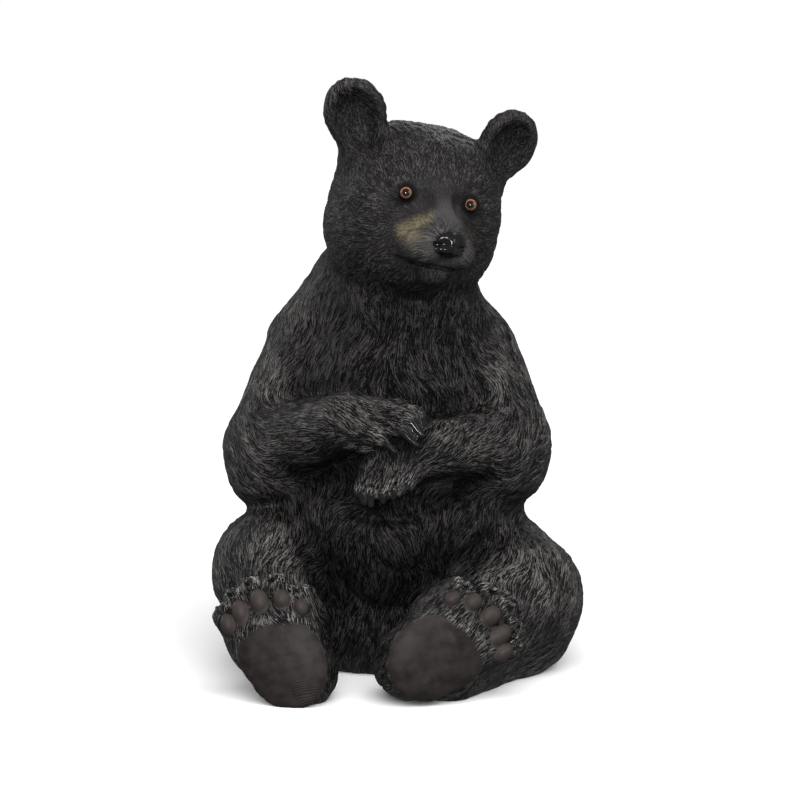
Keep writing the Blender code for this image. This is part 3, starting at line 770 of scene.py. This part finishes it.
def shelter(p, n):
    """How far each point lies in a hollow, from how soon the form comes near again above it; the finish
    paints shade there by it.
    """
    hollow = 0
    for reach, share in ((1.6, 0.3), (6.0, 0.55), (15.0, 0.75)):
        hollow = hollow + share * np.clip(1 - bear(p + reach * n) / reach, 0, 1)
    return np.clip(hollow, 0, 1)


# The casting's skin, carved

# Pitch and length of the strokes and where they lie in the noise, then how far they rise and sink
TUFTS = (1.5, 4.5, 3.7)
TUFT_DEPTH = 0.10
STROKES = (0.56, 1.8, 17.3)
STROKE_DEPTH = 0.11
FLAT_BELOW = 0.02       # the face on the ground stays flat


def carved_skin():
    points, quads = surface_of(bear)
    points, quads = finer(points, quads)
    p = settle(points.astype(np.float32), 2)
    n = normals_of(p, quads).astype(np.float32)
    on_head = head_zone(p)
    lie = lie_of_fur(p, n) * (1 - 0.45 * on_head)[:, None]
    shades, bare = covers(p)
    tuft = np.tanh(1.1 * strokes(p, lie, *TUFTS))
    stroke = np.tanh(strokes(p, lie, *STROKES))
    coarse = (1 - 0.8 * on_head).astype(p.dtype)
    furry = 1 - bare
    relief = furry * (TUFT_DEPTH * coarse * tuft + STROKE_DEPTH * stroke)
    relief[p[:, 2] < FLAT_BELOW] = 0
    carved = p + relief[:, None] * n
    carved[:, 2] = np.maximum(carved[:, 2], 0.0)
    shades["ridge"] = np.clip(0.5 + 0.5 * (0.2 * coarse * tuft + 0.8 * stroke) * furry, 0, 1)
    shades["hollow"] = shelter(p, n)
    shades["furry"] = furry
    return carved, quads, lie, shades


# Bands of the skin, from the ground up, each its own piece of fewer than 200,000 triangles
BANDS = (
    ("bear_seat", 0.0, 12.5),
    ("bear_lap", 12.5, 28.0),
    ("bear_arms", 28.0, 45.0),
    ("bear_shoulders", 45.0, 68.0),
    ("bear_head", 68.0, 200.0),
)


def band_piece(name, points, quads, normals, lie, shades, finish):
    used, renumbered = np.unique(quads, return_inverse=True)
    faces = renumbered.reshape(-1, 4)
    mesh = bpy.data.meshes.new(name)
    mesh.vertices.add(len(used))
    mesh.vertices.foreach_set("co", (points[used] * SHARE).astype(np.float32).ravel())
    mesh.loops.add(faces.size)
    mesh.loops.foreach_set("vertex_index", faces.astype(np.int32).ravel())
    mesh.polygons.add(len(faces))
    mesh.polygons.foreach_set("loop_start", np.arange(0, faces.size, 4, dtype=np.int32))
    mesh.update(calc_edges=True)
    mesh.shade_smooth()
    mesh.normals_split_custom_set_from_vertices(normals[used].tolist())
    for key, values in shades.items():
        layer = mesh.attributes.new(key, "FLOAT", "POINT")
        layer.data.foreach_set("value", values[used].astype(np.float32))
    layer = mesh.attributes.new("lie", "FLOAT_VECTOR", "POINT")
    layer.data.foreach_set("vector", lie[used].astype(np.float32).ravel())
    mesh.materials.append(finish)
    return link(name, mesh)


def link(name, data):
    made = bpy.data.objects.new(name, data)
    bpy.context.scene.collection.objects.link(made)
    return made


# Materials

class Nodes:
    """Adds nodes to a material and joins them."""

    def __init__(self, name):
        self.material = bpy.data.materials.new(name)
        self.material.use_nodes = True
        self.tree = self.material.node_tree
        self.shader = self.tree.nodes["Principled BSDF"]

    def join(self, source, target):
        if isinstance(source, bpy.types.NodeSocket):
            self.tree.links.new(source, target)
        else:
            target.default_value = source

    def attribute(self, name, output="Fac"):
        node = self.tree.nodes.new("ShaderNodeAttribute")
        node.attribute_name = name
        return node.outputs[output]

    def math(self, operation, a, b=0.0, clamp=False):
        node = self.tree.nodes.new("ShaderNodeMath")
        node.operation = operation
        node.use_clamp = clamp
        self.join(a, node.inputs[0])
        self.join(b, node.inputs[1])
        return node.outputs[0]

    def times(self, a, b, clamp=False):
        return self.math("MULTIPLY", a, b, clamp)

    def plus(self, a, b):
        return self.math("ADD", a, b)

    def vector(self, operation, a, b=None, scale=None):
        node = self.tree.nodes.new("ShaderNodeVectorMath")
        node.operation = operation
        self.join(a, node.inputs[0])
        if b is not None:
            self.join(b, node.inputs[1])
        if scale is not None:
            self.join(scale, node.inputs["Scale"])
        return node.outputs[0]

    def mix(self, factor, a, b):
        node = self.tree.nodes.new("ShaderNodeMix")
        node.data_type = "RGBA"
        self.join(factor, node.inputs["Factor"])
        self.join(a if isinstance(a, bpy.types.NodeSocket) else (*a, 1.0), node.inputs[6])
        self.join(b if isinstance(b, bpy.types.NodeSocket) else (*b, 1.0), node.inputs[7])
        return node.outputs[2]

    def spread(self, value, low, high, start=0.0, end=1.0):
        node = self.tree.nodes.new("ShaderNodeMapRange")
        self.join(value, node.inputs["Value"])
        for key, number in (("From Min", low), ("From Max", high), ("To Min", start), ("To Max", end)):
            self.join(number, node.inputs[key])
        return node.outputs[0]

    def noise(self, where, scale, detail):
        node = self.tree.nodes.new("ShaderNodeTexNoise")
        node.inputs["Scale"].default_value = scale
        node.inputs["Detail"].default_value = detail
        self.join(where, node.inputs["Vector"])
        return node.outputs[0]

    def ramp(self, value, stops):
        node = self.tree.nodes.new("ShaderNodeValToRGB")
        self.join(value, node.inputs[0])
        elements = node.color_ramp.elements
        while len(elements) < len(stops):
            elements.new(1.0)
        for element, (place, colour) in zip(elements, stops):
            element.position = place
            element.color = (*colour, 1.0)
        return node.outputs[0]

    def combined(self, value):
        node = self.tree.nodes.new("ShaderNodeCombineXYZ")
        for axis in range(3):
            self.join(value, node.inputs[axis])
        return node.outputs[0]

    def bump(self, height, distance, strength=1.0, under=None):
        node = self.tree.nodes.new("ShaderNodeBump")
        node.inputs["Distance"].default_value = distance
        node.inputs["Strength"].default_value = strength
        self.join(height, node.inputs["Height"])
        if under is not None:
            self.join(under, node.inputs["Normal"])
        return node.outputs[0]


# Colours, as linear red, green and blue
FUR_DARK = (0.0030, 0.0026, 0.0031)
FUR_LIGHT = (0.052, 0.048, 0.048)
FUR_BRIGHT = (0.115, 0.109, 0.103)
FUR_EVEN = (0.022, 0.020, 0.021)
BRIDGE = (0.058, 0.053, 0.056)
TAN = (0.165, 0.143, 0.088)
FROST = (0.33, 0.32, 0.30)
PAD_DARK = (0.009, 0.0072, 0.0068)
PAD_LIGHT = (0.036, 0.029, 0.027)
PAD_PALE = (0.046, 0.037, 0.034)
LID = (0.004, 0.0035, 0.004)
GLOSS_BLACK = (0.004, 0.004, 0.0045)

# Gloss of each paint
FUR_ROUGHNESS = 0.44
PAD_ROUGHNESS = 0.48
GLOSS_ROUGHNESS = 0.17
FUR_SPECULAR = 0.36
LID_SPECULAR = 0.12
GLOSS_SPECULAR = 0.85

# Finest painted strokes, in metres: width, length and how far they stand out
HAIR = 0.0011
HAIR_LENGTH = 0.0054
HAIR_STEPS = 7
HAIR_RELIEF = 0.0011
WRINKLE_RELIEF = 0.0005
WRINKLE_PITCH = 0.42    # from one wrinkle of a sole to the next, in shares


def resin_finish():
    """Painted resin: dark fur with lighter ridges, tan muzzle patch, bare pads, glossy nose and claws;
    painted shade in hollows and on the belly and chest, painted light on the lips.
    """
    n = Nodes("painted_resin")
    place = n.tree.nodes.new("ShaderNodeTexCoord").outputs["Object"]
    lie = n.attribute("lie", "Vector")
    hollow = n.attribute("hollow")
    trunk_shade = n.attribute("trunk_shade")
    pad = n.attribute("pad")
    lid = n.attribute("lid")
    gloss = n.attribute("gloss")
    streaks = None
    for k in range(HAIR_STEPS):
        along = (k / (HAIR_STEPS - 1) - 0.5) * HAIR_LENGTH
        spot = n.vector("ADD", place, n.vector("SCALE", lie, scale=along))
        streak = n.noise(spot, 1 / HAIR, 0.0)
        streaks = streak if streaks is None else n.plus(streaks, streak)
    hair = n.spread(streaks, 0.44 * HAIR_STEPS, 0.56 * HAIR_STEPS)
    patches = n.noise(place, 22.0, 4.0)
    grain = n.noise(place, 420.0, 2.0)

    # Lighter dry-brushed fur, kept off the head and off the painted shade on the belly and chest.
    dry_brush_and_shade = n.times(n.attribute("dry_brush_and_shade"), n.spread(patches, 0.38, 0.6), True)
    lift = n.plus(n.times(n.attribute("ridge"), 0.5), n.times(hair, 0.75))
    fur = n.mix(n.spread(lift, 0.4, 1.1), FUR_DARK, n.mix(dry_brush_and_shade, FUR_LIGHT, FUR_BRIGHT))
    fur = n.mix(n.attribute("calm"), fur, FUR_EVEN)
    # Pale grey paint on the bridge; on the lips the same grey is painted light.
    bridge = n.mix(n.spread(grain, 0.35, 0.65), FUR_LIGHT, BRIDGE)
    colour = n.mix(n.times(n.attribute("bridge"), 0.85), fur, bridge)
    tan = n.times(n.attribute("tan"), n.spread(n.plus(grain, hair), 0.45, 1.35, 0.35, 1.0), True)
    colour = n.mix(tan, colour, TAN)
    flecks = n.spread(n.plus(hair, n.times(grain, 0.8)), 0.95, 1.35)
    colour = n.mix(n.times(n.attribute("frost"), flecks, True), colour, FROST)
    # Painted shade: the colour is darkened in hollows and on the front of the belly and chest.
    shade = n.times(n.spread(hollow, 0.08, 0.9, 1.0, 0.38), n.spread(trunk_shade, 0.0, 1.0, 1.0, 0.75))
    colour = n.vector("MULTIPLY", colour, n.combined(shade))

    skin = n.noise(place, 90.0, 4.0)
    turns = n.times(n.attribute("arc"), 2 * math.pi / WRINKLE_PITCH)
    rings = n.math("SINE", n.plus(turns, n.times(skin, 12.0)))
    wrinkles = n.times(n.spread(rings, -1.0, 1.0), n.spread(n.noise(place, 38.0, 2.0), 0.50, 0.66))
    tone = n.plus(n.times(skin, 0.9), n.times(wrinkles, 0.1))
    bare = n.mix(n.spread(tone, 0.25, 0.8), PAD_DARK, PAD_LIGHT)
    bare = n.mix(n.times(n.attribute("toe_pad"), 0.6), bare, PAD_PALE)
    colour = n.mix(pad, colour, bare)
    colour = n.mix(n.times(lid, 0.9), colour, LID)
    colour = n.mix(gloss, colour, GLOSS_BLACK)
    n.join(colour, n.shader.inputs["Base Color"])

    matt = n.mix(pad, (FUR_ROUGHNESS,) * 3, (PAD_ROUGHNESS,) * 3)
    n.join(n.mix(gloss, matt, (GLOSS_ROUGHNESS,) * 3), n.shader.inputs["Roughness"])
    # Painted shade: the sheen is lowered in hollows and on the front of the belly and chest.
    dim = n.spread(n.plus(hollow, trunk_shade), 0.0, 1.3, 1.0, 0.35)
    sheen = n.times(dim, n.spread(lid, 0.0, 1.0, FUR_SPECULAR, LID_SPECULAR))
    n.join(n.mix(gloss, n.combined(sheen), (GLOSS_SPECULAR,) * 3), n.shader.inputs["Specular IOR Level"])
    normal = n.bump(n.times(hair, n.attribute("furry")), HAIR_RELIEF)
    creased = n.times(pad, n.plus(wrinkles, n.times(skin, 0.8)))
    n.join(n.bump(creased, WRINKLE_RELIEF, 0.55, normal), n.shader.inputs["Normal"])
    return n.material


# The eye's colours, from the middle of its pupil outward. 1 is the far side of the ball
EYE_RING_COLOURS = (
    (0.0, (0.003, 0.003, 0.004)),
    (0.185, (0.003, 0.003, 0.004)),
    (0.205, (0.16, 0.06, 0.025)),
    (0.235, (0.30, 0.125, 0.060)),
    (0.27, (0.27, 0.105, 0.048)),
    (0.30, (0.12, 0.035, 0.012)),
    (0.33, (0.008, 0.005, 0.005)),
)
EYE_GLOSS = {
    "Roughness": 0.06,
    "Specular IOR Level": 0.25,
    "Coat Weight": 1.0,
    "Coat Roughness": 0.03,
    "Coat IOR": 1.8,
}


def eye_finish():
    """Glass eye: black pupil, amber iris with a darker rim, and a clear coat."""
    n = Nodes("eye")
    n.join(n.ramp(n.attribute("ring"), EYE_RING_COLOURS), n.shader.inputs["Base Color"])
    for key, number in EYE_GLOSS.items():
        n.shader.inputs[key].default_value = number
    return n.material


def plain_finish(name, colour, roughness, glow=0.0):
    made = bpy.data.materials.new(name)
    made.use_nodes = True
    shader = made.node_tree.nodes["Principled BSDF"]
    shader.inputs["Base Color"].default_value = (*colour, 1.0)
    shader.inputs["Roughness"].default_value = roughness
    shader.inputs["Emission Color"].default_value = (1.0, 1.0, 1.0, 1.0)
    shader.inputs["Emission Strength"].default_value = glow
    return made


# Eyes

EYE_SEGMENTS = 64
EYE_RINGS = 48
GAZE_AT = (0.0, -2.4, 0.75)     # the spot that both eyes look at, in metres


def eyeball(name, node, finish):
    """A ball whose pole looks out of the socket. Its ring attribute runs from 0 at that pole to 1."""
    low, high = (np.array(corner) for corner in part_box(node))
    centre = (low + high) / 2
    gaze = np.array(GAZE_AT) - centre
    gaze /= np.linalg.norm(gaze)
    side = np.cross(gaze, (0, 0, 1))
    side /= np.linalg.norm(side)
    top = np.cross(side, gaze)
    points = [gaze]
    rings = [0.0]
    for ring in range(1, EYE_RINGS):
        polar = math.pi * ring / EYE_RINGS
        for k in range(EYE_SEGMENTS):
            around = 2 * math.pi * k / EYE_SEGMENTS
            out = math.cos(around) * side + math.sin(around) * top
            points.append(math.cos(polar) * gaze + math.sin(polar) * out)
            rings.append(ring / EYE_RINGS)
    points.append(-gaze)
    rings.append(1.0)
    last = len(points) - 1
    faces = []
    for k in range(EYE_SEGMENTS):
        after = (k + 1) % EYE_SEGMENTS
        faces.append((0, 1 + after, 1 + k))
        for ring in range(EYE_RINGS - 2):
            here = 1 + ring * EYE_SEGMENTS
            below = here + EYE_SEGMENTS
            faces.append((here + k, here + after, below + after, below + k))
        faces.append((last, last - EYE_SEGMENTS + k, last - EYE_SEGMENTS + after))
    mesh = bpy.data.meshes.new(name)
    mesh.from_pydata([tuple(centre + EYE_RADIUS * point) for point in points], [], faces)
    mesh.shade_smooth()
    layer = mesh.attributes.new("ring", "FLOAT", "POINT")
    layer.data.foreach_set("value", np.array(rings, np.float32))
    mesh.materials.append(finish)
    return link(name, mesh)


# Floor, light and camera

FLOOR_REACH = 14.0
FLOOR_COLOUR = (0.93, 0.93, 0.93)
FLOOR_ROUGHNESS = 0.8
VIEW_TARGET = (0.0, 0.0, 0.2688)
VIEW_DISTANCE = 2.4
VIEW_ELEVATION = math.radians(8)
VIEW_LENS = 104.4
VIEW_SENSOR = 36.0
WORLD_STRENGTH = 0.16
SKY_STRENGTH = 4.7
SKY_ANGLE = math.radians(65)
SKY_TILT = (math.radians(42), 0.0, math.radians(10))

# Place, width and power in watts of each soft light, and the spot that they all look at
SOFT_LIGHTS = {
    "front": ((-0.2, -2.7, 0.7), 0.5, 15.0),
    "fill": ((2.2, -1.4, 1.2), 1.6, 7.0),
    "back": ((0.6, 2.2, 1.8), 1.4, 9.0),
    "side": ((-2.2, 0.9, 1.2), 1.4, 10.0),
}
LIT_SPOT = (0.0, 0.0, 0.3)


def floor():
    """A pale floor that shows the shadow, and gives the bear no light."""
    r = FLOOR_REACH
    mesh = bpy.data.meshes.new("floor")
    mesh.from_pydata([(-r, -r, 0), (r, -r, 0), (r, r, 0), (-r, r, 0)], [], [(0, 1, 2, 3)])
    mesh.materials.append(plain_finish("floor", FLOOR_COLOUR, FLOOR_ROUGHNESS))
    made = link("floor", mesh)
    made.visible_diffuse = False
    made.visible_glossy = False


def backdrop():
    """A white dome that only the camera sees, so that it gives the bear no light."""
    mesh = bpy.data.meshes.new("backdrop")
    form = bmesh.new()
    bmesh.ops.create_uvsphere(form, u_segments=48, v_segments=24, radius=FLOOR_REACH)
    form.to_mesh(mesh)
    form.free()
    mesh.materials.append(plain_finish("backdrop", (0.0, 0.0, 0.0), 1.0, 1.0))
    made = link("backdrop", mesh)
    made.visible_diffuse = False
    made.visible_glossy = False
    made.visible_transmission = False
    made.visible_shadow = False


def soft_light(name, place, size, power):
    data = bpy.data.lights.new(name, "AREA")
    data.shape = "DISK"
    data.size = size
    data.energy = power
    made = link(name, data)
    made.location = place
    aim = np.array(LIT_SPOT) - np.array(place)
    flat = math.hypot(aim[0], aim[1])
    made.rotation_euler = (math.atan2(flat, -aim[2]), 0.0, math.atan2(aim[1], aim[0]) - math.pi / 2)


def lights():
    world = bpy.data.worlds.new("studio")
    world.use_nodes = True
    background = world.node_tree.nodes["Background"]
    background.inputs["Color"].default_value = (1.0, 1.0, 1.0, 1.0)
    background.inputs["Strength"].default_value = WORLD_STRENGTH
    bpy.context.scene.world = world
    bpy.context.scene.view_settings.view_transform = "Standard"
    sky = bpy.data.lights.new("sky", "SUN")
    sky.energy = SKY_STRENGTH
    sky.angle = SKY_ANGLE
    made = link("sky", sky)
    made.rotation_euler = SKY_TILT
    made.visible_glossy = False
    for name, (place, size, power) in SOFT_LIGHTS.items():
        soft_light(name, place, size, power)


def camera():
    data = bpy.data.cameras.new("camera")
    data.lens = VIEW_LENS
    data.sensor_width = VIEW_SENSOR
    made = link("camera", data)
    level = VIEW_DISTANCE * math.cos(VIEW_ELEVATION)
    rise = VIEW_DISTANCE * math.sin(VIEW_ELEVATION)
    made.location = (VIEW_TARGET[0], VIEW_TARGET[1] - level, VIEW_TARGET[2] + rise)
    made.rotation_euler = (math.pi / 2 - VIEW_ELEVATION, 0.0, 0.0)
    bpy.context.scene.camera = made


def build():
    camera()
    floor()
    backdrop()
    lights()
    resin = resin_finish()
    glass = eye_finish()
    points, quads, lie, shades = carved_skin()
    normals = normals_of(points, quads)
    middle = points[quads, 2].mean(1)
    for name, low, high in BANDS:
        own = quads[(middle >= low) & (middle < high)]
        piece = band_piece(name, points, own, normals, lie, shades, resin)
        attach(piece, "root")
        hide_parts("bear_body")
    for side in ("right", "left"):
        ball = eyeball(side + "_eyeball", side + "_eye", glass)
        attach(ball, "root")
        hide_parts(side + "_eye")


build()
